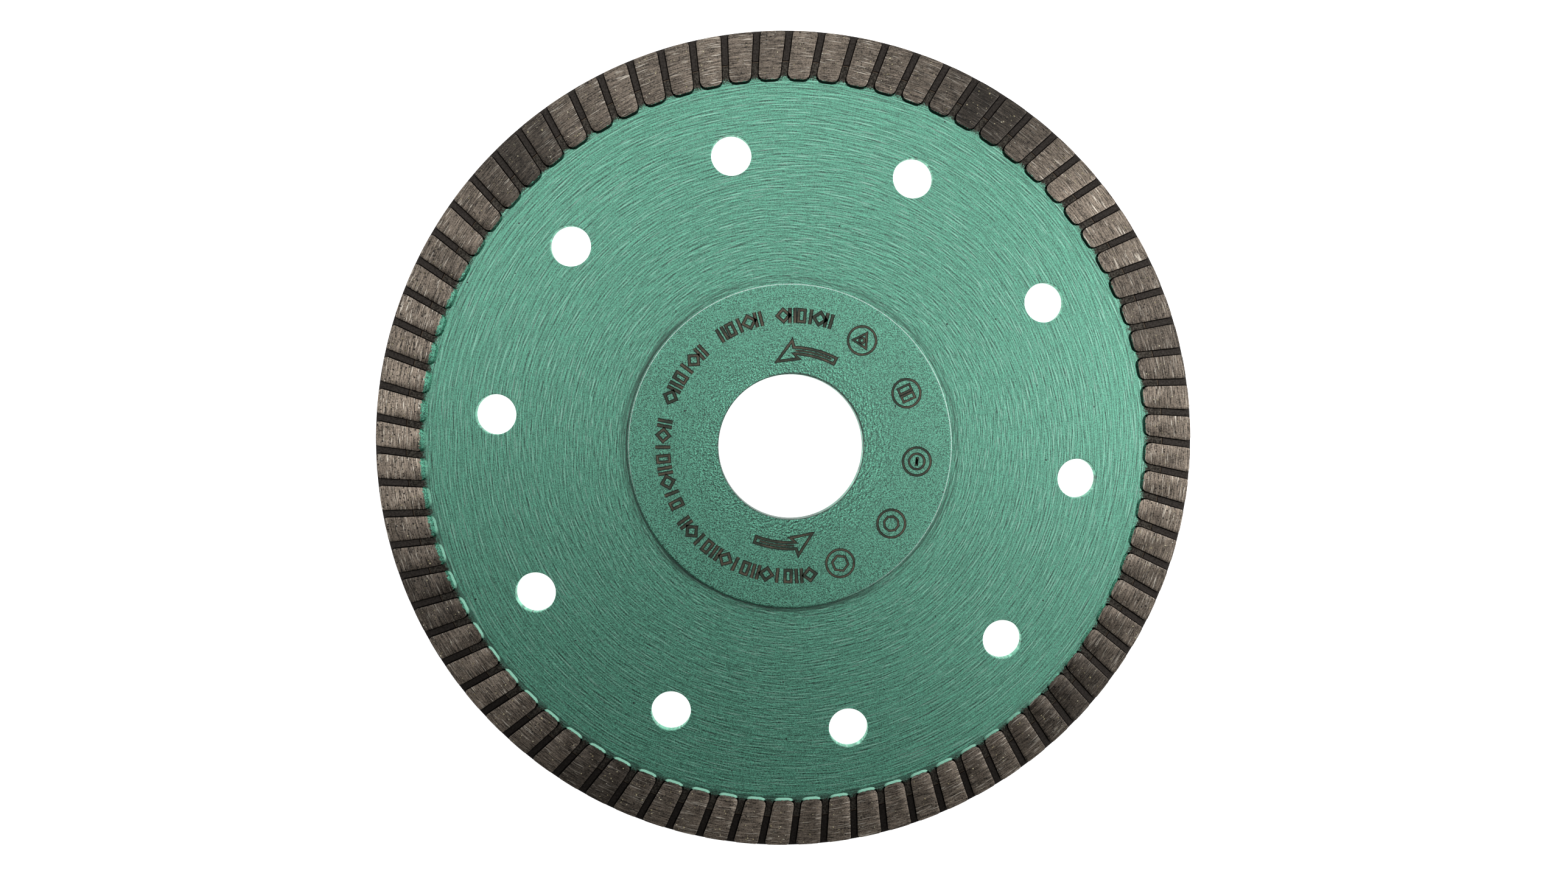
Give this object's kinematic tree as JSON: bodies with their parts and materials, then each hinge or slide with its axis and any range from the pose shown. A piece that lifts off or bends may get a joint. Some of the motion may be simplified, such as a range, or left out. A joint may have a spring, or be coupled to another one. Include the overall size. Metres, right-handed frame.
{
  "type": "diamond blade",
  "caption": "Flat turbo-rim diamond cutting blade with a painted steel core, raised hub plates, cooling holes and a ribbed sintered edge.",
  "frame": {"origin": "centre of the arbor bore on the middle plane of the steel core", "axes": "+Z along the bore axis, out of the marked front face; +X and +Y lie in the blade's plane, +Y towards the top when it is seen from the front"},
  "size_m": [0.125, 0.125, 0.0022],
  "materials": {
    "painted_core": "satin metallic green paint over ground steel",
    "painted_hub": "satin metallic green paint with fine orange peel",
    "weld_steel": "as welded, hidden",
    "sintered_matrix": "sintered metal, ribs ground bare, grooves dark",
    "diamond": "blocky synthetic crystals, translucent yellow-grey"
  },
  "bodies": {
    "root": {"steel_core": "painted_core", "front_hub_plate": "painted_hub", "rear_hub_plate": "painted_hub", "hub_weld_nuggets": "weld_steel", "turbo_rim": "sintered_matrix", "diamond_grit": "diamond"}
  },
  "joints": []
}
